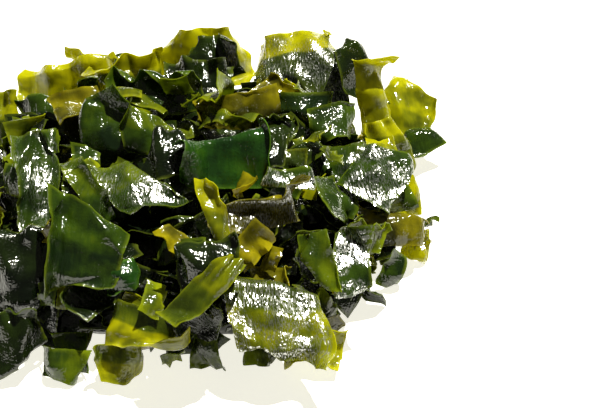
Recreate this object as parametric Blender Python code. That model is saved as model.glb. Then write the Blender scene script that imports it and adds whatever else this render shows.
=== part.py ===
"""Wakame: a wet mound of cut and soaked seaweed blades, lying on a table.

Every large blade is a sheet cut with a knife, folded along soft creases and laid on what is under it.
The inside of the mound is one tangle of smaller blades. Metres, +Z up, origin under the middle of the
mound, with the side that the photograph shows towards -Y.
"""

import math
import random

import bmesh
import bpy
from mathutils import Matrix, Vector
from mathutils.bvhtree import BVHTree

MM = 0.001

# The mound that the middles of the blades lie on, as half an ellipsoid
MOUND_HALF_LENGTH = 80 * MM
MOUND_HALF_DEPTH = 66 * MM
MOUND_HEIGHT = 40 * MM

# The solid heart of the tangle
HEART_HALF_LENGTH = 71 * MM
HEART_HALF_DEPTH = 59 * MM
HEART_HEIGHT = 25 * MM
HEART_BASE = 3 * MM

BLADE_THICKNESS = 0.8 * MM
CLEARANCE = 0.5 * MM
TABLE_CLEARANCE = 0.3 * MM
SEAT_STEP = 0.75 * MM
BUCKLE = 1.3 * MM
EASING = 0.85
FIRST_SEAT = -10 * MM
MOST_DRAWN_IN = 40 * MM
HIGHEST_SEAT = 38 * MM
CLOSE_SEAT = 20 * MM
WORTH_CUTTING = 2 * MM
SMALLER_CUTS = (1, 0.86, 0.74, 0.62)

# How far a blade runs on under its neighbours, beside what the photograph shows of it: the deepest one
# and the topmost
MOST_TUCKED = 1.42
LEAST_TUCKED = 1.12
CORNER_SEED = 19

# The view that the photograph has of the mound
VIEW_ELEVATION = math.radians(42)
VIEW_DISTANCE = 550 * MM
VIEW_TARGET = Vector((45 * MM, 0, 12 * MM))
PIXEL = 0.36 * MM
PICTURE_MIDDLE = (306, 204)

# Blades that the photograph shows, deepest first: the four corners in its pixels, from the top left and
# clockwise, the way the face looks (degrees to the right of the viewer, degrees above level), the creases
# (heading of the flap in degrees, start as a share of the way to that edge, bend in degrees, radius in mm)
# and the frill of the upper margin in mm.
SEEN_BLADES = {
    "back_long": (((20, 74), (103, 58), (102, 94), (26, 104)), (-4, 22), [(180, 0.1, -35, 14)], 1.5),
    "back_band": (((96, 64), (158, 58), (152, 92), (104, 90)), (8, 35), [(90, 0.0, 40, 6)], 1.5),
    "crown": (
        ((172, 22), (240, 20), (248, 66), (162, 64)), (4, 26),
        [(0, 0.35, -40, 7), (180, 0.4, -30, 9)], 2.0,
    ),
    "crown_inner": (((192, 44), (234, 40), (240, 74), (188, 72)), (15, 48), [(0, 0.0, 60, 4)], 1.0),
    "crest_wide": (
        ((249, 42), (332, 32), (340, 108), (262, 106)), (-4, 36),
        [(125, 0.3, -42, 3), (0, 0.6, -50, 5), (270, 0.6, -30, 8)], 0.6,
    ),
    "arch": (((334, 30), (354, 26), (376, 96), (350, 104)), (30, 34), [(90, 0.2, -70, 5)], 0.0),
    "tongue": (((358, 64), (380, 58), (392, 124), (366, 136)), (18, 36), [(0, 0.1, -50, 5)], 0.0),
    "spur": (((384, 70), (430, 102), (420, 142), (384, 134)), (16, 52), [(180, 0.2, -45, 5)], 1.0),
    "right_tip": (((408, 130), (430, 126), (440, 142), (410, 160)), (20, 55), [(90, 0.1, -50, 4)], 0.0),
    "shoulder": (
        ((356, 122), (402, 112), (426, 168), (348, 156)), (22, 44),
        [(0, 0.3, -45, 8), (270, 0.4, 35, 6)], 1.5,
    ),
    "pillow": (
        ((14, 98), (76, 92), (72, 134), (22, 134)), (-12, 56),
        [(180, 0.2, -50, 9), (90, 0.3, -35, 6)], 0.0,
    ),
    "wavy_left": (((120, 82), (182, 70), (198, 104), (130, 114)), (-14, 50), [(90, 0.2, 45, 4)], 3.0),
    "wavy_right": (((168, 62), (238, 64), (220, 100), (174, 102)), (0, 42), [(270, 0.1, 40, 5)], 3.0),
    "arc_olive": (
        ((200, 104), (266, 92), (272, 126), (204, 124)), (2, 38),
        [(180, 0.1, -40, 7), (90, 0.5, 70, 3)], 0.0,
    ),
    "origami": (
        ((64, 106), (120, 92), (146, 162), (80, 164)), (-8, 42),
        [(180, 0.3, -75, 3), (90, 0.45, -45, 3)], 0.0,
    ),
    "wedge": (((120, 106), (170, 128), (156, 146), (132, 152)), (16, 52), [(0, 0.2, 30, 6)], 0.0),
    "striped": (((146, 134), (188, 130), (186, 168), (140, 178)), (-2, 60), [(180, 0.0, -35, 6)], 1.5),
    "square": (
        ((188, 132), (266, 130), (264, 180), (190, 180)), (0, 40),
        [(180, 0.25, 50, 4), (0, 0.5, -30, 5)], 0.0,
    ),
    "under_crest": (((268, 92), (334, 92), (324, 130), (276, 128)), (4, 40), [(270, 0.3, -40, 5)], 0.0),
    "dotted": (((314, 112), (350, 104), (354, 130), (318, 138)), (10, 66), [(0, 0.2, -40, 5)], 0.0),
    "crinkled": (
        ((258, 136), (290, 122), (284, 172), (238, 188)), (14, 60),
        [(90, 0.4, -60, 3), (270, 0.4, 40, 3)], 1.0,
    ),
    "lens": (
        ((316, 146), (370, 146), (366, 182), (330, 186)), (0, 46),
        [(270, 0.2, 45, 8), (0, 0.4, -40, 8)], 0.0,
    ),
    "sparkle_top": (((366, 150), (416, 158), (384, 204), (346, 178)), (16, 70), [(270, 0.55, -50, 5)], 0.0),
    "flat_strip": (((268, 172), (318, 168), (310, 186), (270, 184)), (2, 70), [(0, 0.5, -40, 4)], 0.0),
    "slit": (((318, 184), (350, 188), (356, 214), (330, 212)), (16, 62), [(270, 0.3, -40, 4)], 0.0),
    "right_flap": (
        ((384, 170), (424, 166), (424, 220), (386, 222)), (20, 32),
        [(0, 0.3, -45, 6), (90, 0.5, -60, 4)], 1.0,
    ),
    "right_band": (((354, 204), (424, 214), (422, 240), (374, 242)), (10, 46), [(90, 0.0, -50, 5)], 0.0),
    "far_curl": (
        ((404, 226), (432, 228), (428, 264), (400, 258)), (26, 42),
        [(0, 0.0, 90, 4), (270, 0.5, -50, 3)], 2.0,
    ),
    "sweep_leaf": (((82, 166), (144, 164), (182, 202), (134, 216)), (-6, 50), [(90, 0.3, -45, 4)], 0.0),
    "sweep_band": (((58, 160), (82, 162), (130, 232), (108, 236)), (-18, 46), [(0, 0.0, -60, 3)], 0.0),
    "ribbon": (
        ((18, 144), (64, 138), (56, 236), (24, 224)), (-10, 42),
        [(0, 0.2, -80, 3), (180, 0.2, 60, 3)], 1.0,
    ),
    "left_edge": (((-16, 100), (20, 94), (16, 146), (-20, 150)), (-20, 42), [(0, 0.2, -45, 5)], 1.5),
    "left_dark": (
        ((-18, 232), (46, 234), (46, 300), (-12, 326)), (-12, 46),
        [(270, 0.3, -40, 8), (180, 0.3, -30, 9)], 1.0,
    ),
    "pointed": (
        ((58, 194), (122, 234), (108, 278), (44, 282)), (-8, 46),
        [(180, 0.4, 60, 3), (270, 0.5, -40, 4)], 0.0,
    ),
    "scroll": (
        ((214, 206), (298, 186), (308, 216), (220, 236)), (0, 46),
        [(90, -0.1, 120, 4), (0, 0.6, -50, 4)], 0.0,
    ),
    "spoon": (((194, 182), (216, 188), (236, 244), (220, 246)), (-10, 46), [(0, 0.0, -70, 3)], 0.0),
    "facets": (
        ((162, 250), (232, 242), (228, 286), (184, 294)), (0, 48),
        [(180, 0.2, -50, 3), (90, 0.3, -40, 4)], 1.0,
    ),
    "front_sheet": (
        ((230, 276), (306, 276), (328, 358), (244, 350)), (10, 54),
        [(270, 0.5, -42, 5), (0, 0.6, -50, 5)], 0.0,
    ),
    "stole": (((286, 236), (322, 220), (342, 290), (324, 288)), (-4, 44), [(180, 0.1, -60, 5)], 0.0),
    "sparkle_strip": (
        ((336, 236), (362, 234), (370, 284), (340, 304)), (14, 70),
        [(270, 0.6, -50, 5), (0, 0.6, -55, 4)], 0.0,
    ),
    "diagonal": (((220, 258), (242, 266), (186, 328), (166, 312)), (-30, 46), [(0, 0.1, -50, 4)], 1.0),
    "grey_crinkle": (((186, 304), (236, 292), (238, 326), (196, 340)), (-8, 46), [(0, 0.0, -40, 4)], 1.5),
    "front_roll": (((296, 336), (344, 330), (336, 368), (286, 362)), (10, 36), [(270, 0.0, 90, 4)], 0.0),
    "teal_cut": (((104, 268), (140, 258), (132, 290), (110, 294)), (2, 50), [(0, 0.3, -40, 5)], 0.0),
    "bright_cut": (((57, 286), (82, 282), (72, 312), (56, 306)), (-4, 52), [(270, 0.3, -30, 5)], 0.0),
    "bracket": (
        ((102, 298), (184, 324), (180, 364), (108, 340)), (-2, 42),
        [(270, 0.1, 80, 4), (0, 0.5, -40, 4)], 0.0,
    ),
    "front_left": (((94, 348), (146, 348), (142, 386), (104, 380)), (0, 38), [(0, 0.1, -60, 5)], 1.0),
    "olive_low": (((52, 334), (82, 336), (90, 372), (60, 368)), (-2, 48), [(0, 0.2, 50, 4)], 0.0),
    "left_low": (((-12, 318), (30, 310), (50, 346), (-10, 384)), (-10, 42), [(0, 0.1, -60, 3)], 1.0),
    "left_tip": (((28, 360), (80, 362), (66, 394), (34, 386)), (-4, 38), [(180, 0.1, -50, 4)], 0.0),
}

# Blades on the sides that the photograph hides, placed by a rule
HIDDEN_SEED = 41
HIDDEN_PLACES = 120
HIDDEN_MOST = 9
HIDDEN_FACING = 0.0
HIDDEN_FOOT = 19 * MM
HIDDEN_LEFT = 70 * MM
HIDDEN_LONGEST = 44 * MM
HIDDEN_SHORTEST = 31 * MM
HIDDEN_HIGHEST = 20 * MM

# Smaller blades that stand out of the heart of the tangle
TANGLE_SEED = 7
TANGLE_BLADES = 56
TANGLE_LONGEST = 38 * MM
TANGLE_SHORTEST = 24 * MM
TANGLE_THICKNESS = 1 * MM

GOLDEN_ANGLE = math.pi * (3 - math.sqrt(5))

GREEN = (0.075, 0.105, 0.012, 1)
DARK = (0.02, 0.03, 0.01, 1)
WET_ROUGHNESS = 0.28


def clear_scene():
    for obj in list(bpy.data.objects):
        bpy.data.objects.remove(obj)


def material(name, colour):
    made = bpy.data.materials.new(name)
    made.use_nodes = True
    surface = made.node_tree.nodes["Principled BSDF"]
    surface.inputs["Base Color"].default_value = colour
    surface.inputs["Roughness"].default_value = WET_ROUGHNESS
    surface.inputs["Metallic"].default_value = 0
    return made


def bowed(point, along, start, bend, radius, flat):
    """point after the sheet beyond a crease has bent: flat is the same point before any crease."""
    distance = flat.dot(along) - start
    turn = min(max(distance / radius, 0), abs(bend))
    if turn == 0:
        return point
    side = math.copysign(1, bend)
    out = Vector((0, 0, side))
    rolled = Matrix.Rotation(turn, 3, along.cross(out)) @ (point - along * (start + radius * turn))
    return rolled + along * (start + radius * math.sin(turn)) + out * (radius * (1 - math.cos(turn)))


def sheet_points(shape, columns, rows):
    """The points of a cut sheet, as rows from its lower margin up, after its creases are bent."""
    corners, creases, frill, phase = shape
    low_left, low_right, high_right, high_left = (Vector((x, y, 0)) for x, y in corners)
    reach = [low_left, low_right, high_right, high_left]
    points = []
    for row in range(rows + 1):
        v = row / rows
        for column in range(columns + 1):
            u = column / columns
            flat = low_left.lerp(low_right, u).lerp(high_left.lerp(high_right, u), v)
            wave = BUCKLE * math.sin(math.tau * (0.8 * u + 0.55 * v) + phase)
            wave += frill * MM * v * v * math.sin(2.5 * math.tau * u + 3 * v)
            point = flat + Vector((0, 0, wave))
            for heading, share, bend, radius in creases:
                along = Vector((math.cos(math.radians(heading)), math.sin(math.radians(heading)), 0))
                start = share * max(corner.dot(along) for corner in reach)
                point = bowed(point, along, start, math.radians(bend), radius * MM, flat)
            points.append(point)
    return points


def blade_mesh(shape, columns, rows, thickness):
    """A closed thin solid round the middle of the folded sheet, with both faces split alike."""
    points = sheet_points(shape, columns, rows)
    sheet = bmesh.new()
    grid = [sheet.verts.new(point) for point in points]
    across = columns + 1
    for row in range(rows):
        for column in range(columns):
            first = row * across + column
            low, high = grid[first : first + 2], grid[first + across : first + across + 2]
            sheet.faces.new((low[0], low[1], high[1]))
            sheet.faces.new((low[0], high[1], high[0]))
    sheet.normal_update()
    under = [(vert, vert.normal * thickness) for vert in sheet.verts]
    for vert, depth in under:
        vert.co += depth / 2
    bmesh.ops.extrude_face_region(sheet, geom=sheet.faces[:], use_keep_orig=True)
    for vert, depth in under:
        vert.co -= depth
    bmesh.ops.recalc_face_normals(sheet, faces=sheet.faces[:])
    bmesh.ops.triangulate(sheet, faces=sheet.faces[:])
    return sheet


def crosses_itself(blade):
    tree = BVHTree.FromBMesh(blade)
    blade.faces.ensure_lookup_table()
    for one, other in tree.overlap(tree):
        if one < other and not set(blade.faces[one].verts) & set(blade.faces[other].verts):
            return True
    return False


def eased(shape):
    """The shape with its creases opened until the blade, with its clearance, no longer meets itself."""
    corners, creases, frill, phase = shape
    columns, rows = grid_size(corners)
    while creases:
        trial = blade_mesh((corners, creases, frill, phase), columns, rows, BLADE_THICKNESS + 2 * CLEARANCE)
        crossed = crosses_itself(trial)
        trial.free()
        if not crossed:
            break
        creases = [(heading, start, bend * EASING, radius) for heading, start, bend, radius in creases]
    return corners, creases, frill, phase


def facing_frame(facing):
    """A frame whose Z is the way a blade looks, with X level and Y up its face."""
    right, above = (math.radians(angle) for angle in facing)
    out = Vector((math.sin(right) * math.cos(above), -math.cos(right) * math.cos(above), math.sin(above)))
    across = Vector((0, 0, 1)).cross(out).normalized()
    return Matrix((across, out.cross(across), out)).transposed()


def sight_line(pixel):
    """The eye and the direction of the line of sight through a pixel of the photograph."""
    toward = Vector((0, -math.cos(VIEW_ELEVATION), math.sin(VIEW_ELEVATION)))
    picture_up = Vector((0, math.sin(VIEW_ELEVATION), math.cos(VIEW_ELEVATION)))
    eye = VIEW_TARGET + toward * VIEW_DISTANCE
    aim = VIEW_TARGET + Vector((1, 0, 0)) * (pixel[0] - PICTURE_MIDDLE[0]) * PIXEL
    aim += picture_up * (PICTURE_MIDDLE[1] - pixel[1]) * PIXEL
    return eye, (aim - eye).normalized()


def on_mound(eye, direction):
    """Where a line of sight meets the mound, or else where it passes closest to it."""
    half = Vector((MOUND_HALF_LENGTH, MOUND_HALF_DEPTH, MOUND_HEIGHT))
    start = Vector(eye[i] / half[i] for i in range(3))
    run = Vector(direction[i] / half[i] for i in range(3))
    square, middle = run.dot(run), start.dot(run)
    under_root = middle * middle - square * (start.dot(start) - 1)
    distance = (-middle - math.sqrt(max(under_root, 0))) / square
    point = eye + direction * distance
    if point.z < 0:
        point = eye - direction * (eye.z / direction.z)
    return point


def tucked_share(number):
    """How much larger than it is seen the blade of this number in the table is cut."""
    return MOST_TUCKED + (LEAST_TUCKED - MOST_TUCKED) * number / (len(SEEN_BLADES) - 1)


def seen_blade(pixels, facing, share):
    """The frame, seat, flat corners and way to the viewer of a blade with its corners at these pixels."""
    eye, line = sight_line([sum(pixel[i] for pixel in pixels) / 4 for i in (0, 1)])
    seat = on_mound(eye, line)
    turned = facing_frame(facing)
    out = turned.col[2]
    corners = []
    for pixel in pixels:
        eye, direction = sight_line(pixel)
        distance = (seat - eye).dot(out) / direction.dot(out)
        local = turned.transposed() @ (eye + direction * distance - seat) * share
        corners.append((local.x, local.y))
    high_left, high_right, low_right, low_left = corners
    return turned, seat, (low_left, low_right, high_right, high_left), -line


def cut_corners(draw, length, width):
    """The corners of a knife-cut sheet of about this size, none of them square."""
    corners = []
    for x, y in ((-1, -1), (1, -1), (1, 1), (-1, 1)):
        corners.append((x * length / 2 * draw.uniform(0.72, 1.1), y * width / 2 * draw.uniform(0.7, 1.1)))
    return corners


def drawn_creases(draw, most_bend):
    """Two or three creases that start at different edges, the first ones bent down onto the mound."""
    first = draw.uniform(0, 360)
    creases = []
    for number in range(draw.choice((2, 3))):
        heading = first + number * draw.uniform(100, 130)
        bend = draw.uniform(0.35, 1) * most_bend * draw.choice((-1, -1, 1))
        creases.append((heading, draw.uniform(0.0, 0.45), bend, draw.uniform(3, 8)))
    return creases


def corner_creases(draw):
    """Three small flaps at the ends of a sheet, one bent up and two down."""
    heading = draw.uniform(0, 360)
    raised = (heading, draw.uniform(0.35, 0.65), draw.uniform(50, 115), draw.uniform(2.5, 4))
    heading_down = heading + draw.uniform(90, 140)
    lowered = (heading_down, draw.uniform(0.3, 0.6), -draw.uniform(50, 110), draw.uniform(2.5, 5))
    heading_away = heading + draw.uniform(210, 260)
    drooping = (heading_away, draw.uniform(0.35, 0.65), -draw.uniform(30, 90), draw.uniform(3, 6))
    return [raised, lowered, drooping]


def outward(point, half):
    """The direction straight out of an ellipsoid with these half axes."""
    return Vector(point[i] / half[i] ** 2 for i in range(3)).normalized()


def spiral_place(number, total, half):
    """A point on the upper half of an ellipsoid, evenly spread by the golden angle."""
    height = 0.04 + 0.94 * (number + 0.5) / total
    level = math.sqrt(1 - height * height)
    turn = number * GOLDEN_ANGLE
    return Vector((half[0] * level * math.cos(turn), half[1] * level * math.sin(turn), half[2] * height))


def leaning_frame(draw, out, lean):
    """A frame whose Z leans from straight out by up to this angle, turned any way about itself."""
    axis = Vector((draw.uniform(-1, 1), draw.uniform(-1, 1), draw.uniform(-1, 1))).normalized()
    turned = Matrix.Rotation(draw.uniform(0.3, 1) * lean, 3, axis) @ out.to_track_quat("Z", "Y").to_matrix()
    return turned @ Matrix.Rotation(draw.uniform(0, math.tau), 3, "Z")


def place(mesh, frame, seat):
    mesh.transform(Matrix.Translation(seat) @ frame.to_4x4())


def above_table(trial, moved):
    return min(vert.co.z for vert in trial.verts) + moved.z >= 0


def clear_of(trial, moved, settled):
    """True if the trial blade, moved so far, is above the table and touches nothing that is settled."""
    if not above_table(trial, moved):
        return False
    points = [vert.co + moved for vert in trial.verts]
    low = [min(point[i] for point in points) for i in range(3)]
    high = [max(point[i] for point in points) for i in range(3)]
    tree = None
    for other_low, other_high, other_tree in settled:
        if any(low[i] > other_high[i] or high[i] < other_low[i] for i in range(3)):
            continue
        if tree is None:
            faces = [[vert.index for vert in face.verts] for face in trial.faces]
            tree = BVHTree.FromPolygons(points, faces)
        if tree.overlap(other_tree):
            return False
    return True


def boxed_tree(mesh):
    low = [min(vert.co[i] for vert in mesh.verts) for i in range(3)]
    high = [max(vert.co[i] for vert in mesh.verts) for i in range(3)]
    return low, high, BVHTree.FromBMesh(mesh)


def settle(shape, frame, seat, way_out, highest, settled):
    """The blade where it first clears what lies under it, going out from deep in the mound.

    Where nothing but the table stops it, it is drawn in towards the foot of the mound, and then level,
    until it touches a blade. One that finds no room close to its seat is cut smaller, and the cut that
    comes closest is taken.
    """
    best = None
    for share in SMALLER_CUTS:
        corners = [(x * share, y * share) for x, y in shape[0]]
        cut = eased((corners, *shape[1:]))
        columns, rows = grid_size(corners)
        trial = blade_mesh(cut, columns, rows, BLADE_THICKNESS + 2 * CLEARANCE)
        place(trial, frame, seat)
        trial.verts.index_update()
        moved = resting_place(trial, seat, way_out, highest, settled)
        trial.free()
        if moved is None:
            continue
        away = moved.dot(way_out)
        if best is None or away < best[0] - WORTH_CUTTING:
            best = (away, moved, cut, columns, rows)
        if away < CLOSE_SEAT:
            break
    if best is None:
        return None
    _, moved, cut, columns, rows = best
    blade = blade_mesh(cut, columns, rows, BLADE_THICKNESS)
    place(blade, frame, seat + moved)
    settled.append(boxed_tree(blade))
    return blade


def resting_place(trial, seat, way_out, highest, settled):
    """How far the trial blade moves from its seat to rest, or None if there is no room for it."""
    lift = FIRST_SEAT
    while not clear_of(trial, way_out * lift, settled):
        lift += SEAT_STEP
        if lift > highest:
            return None
    moved = way_out * lift
    if lift == FIRST_SEAT or not above_table(trial, way_out * (lift - SEAT_STEP)):
        now = seat + moved
        steps = int(MOST_DRAWN_IN / SEAT_STEP)
        for inward in (Vector((-now.x / 2, -now.y / 2, -now.z)), Vector((-now.x, -now.y, 0))):
            step = inward.normalized() * SEAT_STEP
            while steps and clear_of(trial, moved + step, settled):
                moved += step
                steps -= 1
    return moved


def grid_size(corners):
    """Columns and rows of a blade's grid, by its length and width."""
    xs, ys = [x for x, _ in corners], [y for _, y in corners]
    cell = 7 * MM
    return tuple(min(max(round((max(c) - min(c)) / cell), 3), 7) for c in (xs, ys))


def add_node(name, mesh, finish):
    data = bpy.data.meshes.new(name)
    mesh.to_mesh(data)
    mesh.free()
    data.materials.append(finish)
    node = bpy.data.objects.new(name, data)
    bpy.context.scene.collection.objects.link(node)
    return node


def heart_mesh():
    """A low solid mound with a flat underside, the smaller core that the tangle's blades stand out of."""
    heart = bmesh.new()
    bmesh.ops.create_uvsphere(heart, u_segments=22, v_segments=12, radius=1)
    scale = Matrix.Diagonal((HEART_HALF_LENGTH, HEART_HALF_DEPTH, HEART_HEIGHT, 1))
    heart.transform(Matrix.Translation((0, 0, HEART_BASE)) @ scale)
    everything = heart.verts[:] + heart.edges[:] + heart.faces[:]
    cut = bmesh.ops.bisect_plane(heart, geom=everything, plane_no=(0, 0, -1), clear_outer=True)
    rim = [edge for edge in cut["geom_cut"] if isinstance(edge, bmesh.types.BMEdge)]
    bmesh.ops.contextual_create(heart, geom=rim)
    bmesh.ops.recalc_face_normals(heart, faces=heart.faces[:])
    bmesh.ops.triangulate(heart, faces=heart.faces[:])
    return heart


def tangle_shapes():
    """Each smaller blade of the tangle: its sheet, frame and seat on the heart."""
    draw = random.Random(TANGLE_SEED)
    half = (HEART_HALF_LENGTH, HEART_HALF_DEPTH, HEART_HEIGHT)
    for number in range(TANGLE_BLADES):
        seat = spiral_place(number, TANGLE_BLADES, half)
        seat.z += HEART_BASE
        length = draw.uniform(TANGLE_SHORTEST, TANGLE_LONGEST)
        corners = cut_corners(draw, length, length * draw.uniform(0.6, 0.9))
        shape = (corners, drawn_creases(draw, 60), 0, draw.uniform(0, math.tau))
        frame = leaning_frame(draw, outward(seat, half), math.radians(75))
        yield shape, frame, seat


def tangle_node(finish):
    """The heart and its smaller blades, fused into one solid."""
    node = add_node("inner_tangle", heart_mesh(), finish)
    pieces = bpy.data.collections.new("tangle_pieces")
    bpy.context.scene.collection.children.link(pieces)
    for number, (shape, frame, seat) in enumerate(tangle_shapes()):
        blade = blade_mesh(shape, 3, 3, TANGLE_THICKNESS)
        place(blade, frame, seat)
        lowest = min(vert.co.z for vert in blade.verts)
        blade.transform(Matrix.Translation((0, 0, max(0, TABLE_CLEARANCE - lowest))))
        piece = add_node(f"tangle_piece_{number}", blade, finish)
        bpy.context.scene.collection.objects.unlink(piece)
        pieces.objects.link(piece)
    union = node.modifiers.new("fuse", "BOOLEAN")
    union.operation = "UNION"
    union.operand_type = "COLLECTION"
    union.collection = pieces
    union.solver = "EXACT"
    graph = bpy.context.evaluated_depsgraph_get()
    fused = bmesh.new()
    fused.from_mesh(bpy.data.meshes.new_from_object(node.evaluated_get(graph)))
    node.modifiers.clear()
    for piece in list(pieces.objects):
        bpy.data.objects.remove(piece)
    bpy.data.collections.remove(pieces)
    keep_outer_shell(fused)
    fused.to_mesh(node.data)
    tree = boxed_tree(fused)
    fused.free()
    return node, tree


def keep_outer_shell(mesh):
    """Drops the sealed hollows and loose scraps that fusing leaves, keeping the longest shell."""
    left = set(mesh.verts)
    shells = []
    while left:
        shell, edge = set(), [left.pop()]
        while edge:
            vert = edge.pop()
            shell.add(vert)
            near = {link.other_vert(vert) for link in vert.link_edges} & left
            left -= near
            edge.extend(near)
        shells.append(shell)
    shells.sort(key=len)
    for shell in shells[:-1]:
        bmesh.ops.delete(mesh, geom=list(shell), context="VERTS")


def hidden_shapes():
    """Each blade of the hidden sides: its sheet, frame, seat and way out."""
    draw = random.Random(HIDDEN_SEED)
    half = (MOUND_HALF_LENGTH, MOUND_HALF_DEPTH, MOUND_HEIGHT)
    toward = Vector((0, -math.cos(VIEW_ELEVATION), math.sin(VIEW_ELEVATION)))
    for number in range(HIDDEN_PLACES):
        seat = spiral_place(number, HIDDEN_PLACES, half)
        out = outward(seat, half)
        length = draw.uniform(HIDDEN_SHORTEST, HIDDEN_LONGEST)
        corners = cut_corners(draw, length, length * draw.uniform(0.65, 0.9))
        shape = (corners, drawn_creases(draw, 100), draw.uniform(0, 2.5), draw.uniform(0, math.tau))
        frame = leaning_frame(draw, out, math.radians(40))
        far_side = out.dot(toward) < HIDDEN_FACING and seat.z < HIDDEN_FOOT
        if far_side or seat.x < -HIDDEN_LEFT:
            yield shape, frame, seat, out


def build():
    clear_scene()
    green = material("wet_green_blade", GREEN)
    dark = material("wet_dark_blade", DARK)
    _, tree = tangle_node(dark)
    settled = [tree]
    draw = random.Random(CORNER_SEED)
    for number, (name, (pixels, facing, creases, frill)) in enumerate(SEEN_BLADES.items()):
        frame, seat, corners, toward = seen_blade(pixels, facing, tucked_share(number))
        shape = (corners, corner_creases(draw) + creases, frill, draw.uniform(0, math.tau))
        blade = settle(shape, frame, seat, toward, HIGHEST_SEAT, settled)
        if blade:
            add_node(f"blade_{name}", blade, green)
    hidden = 0
    for shape, frame, seat, out in hidden_shapes():
        blade = settle(shape, frame, seat, out, HIDDEN_HIGHEST, settled)
        if blade:
            hidden += 1
            add_node(f"blade_hidden_{hidden:02d}", blade, green)
        if hidden == HIDDEN_MOST:
            break


build()
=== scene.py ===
"""Wakame: a wet mound of cut and soaked seaweed blades, lit from behind on a white table.

Every large blade is cut as a flat sheet with straight knife edges, crinkled, bent along its creases and
laid where the solid model has it. Smaller leaves fill the mound between them.
"""

import math
import random

import bmesh
import bpy
from mathutils import Matrix, Vector, noise
from mathutils.bvhtree import BVHTree


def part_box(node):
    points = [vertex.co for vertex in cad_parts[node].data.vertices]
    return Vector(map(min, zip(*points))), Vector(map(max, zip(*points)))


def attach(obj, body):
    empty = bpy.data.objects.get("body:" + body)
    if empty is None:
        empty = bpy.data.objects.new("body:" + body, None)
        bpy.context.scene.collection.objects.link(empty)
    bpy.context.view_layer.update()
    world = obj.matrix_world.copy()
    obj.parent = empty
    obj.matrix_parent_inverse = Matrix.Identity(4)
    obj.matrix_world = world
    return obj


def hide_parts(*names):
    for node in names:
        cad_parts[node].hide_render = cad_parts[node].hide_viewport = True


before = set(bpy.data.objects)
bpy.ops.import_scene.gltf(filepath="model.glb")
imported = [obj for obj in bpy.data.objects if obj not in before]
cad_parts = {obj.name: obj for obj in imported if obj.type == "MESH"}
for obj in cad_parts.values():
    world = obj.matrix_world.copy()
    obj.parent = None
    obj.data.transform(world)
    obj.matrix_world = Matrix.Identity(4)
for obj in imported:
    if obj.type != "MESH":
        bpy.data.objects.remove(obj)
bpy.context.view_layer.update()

MM = 0.001

# Blender's vector noise starts from the time of day unless it is given a seed
NOISE_SEED = 1
noise.seed_set(NOISE_SEED)

# The mound and its heart
MOUND_HALF = (80 * MM, 66 * MM, 40 * MM)
HEART_HALF = (71 * MM, 59 * MM, 25 * MM)
HEART_BASE = 3 * MM

# The plain blades of the solid model: their thickness, how long a cell of their grid is and how many cells
# a side may have, and the low and the curled waves over them
BLADE_THICKNESS = 0.8 * MM
BLADE_CELL = 7 * MM
FEWEST_CELLS = 3
MOST_CELLS = 7
BUCKLE = 1.3 * MM
BUCKLES_ACROSS = 0.8
BUCKLES_UP = 0.55
FRILLS_ACROSS = 2.5
FRILL_SLANT = 3

# How the solid model eases and cuts a blade until it fits, and how near its size counts as the same blade
EASING = 0.85
EASING_STEPS = 9
SMALLER_CUTS = (1, 0.86, 0.74, 0.62)
SAME_SIZE = 0.1 * MM
SAME_BLADE = 0.5 * MM
MOST_TUCKED = 1.42
LEAST_TUCKED = 1.12
CORNER_SEED = 19

# The view that the photograph has of the mound
VIEW_ELEVATION = math.radians(42)
VIEW_DISTANCE = 550 * MM
VIEW_TARGET = Vector((45 * MM, 0, 12 * MM))
PIXEL = 0.36 * MM
PICTURE_MIDDLE = (306, 204)

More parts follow.
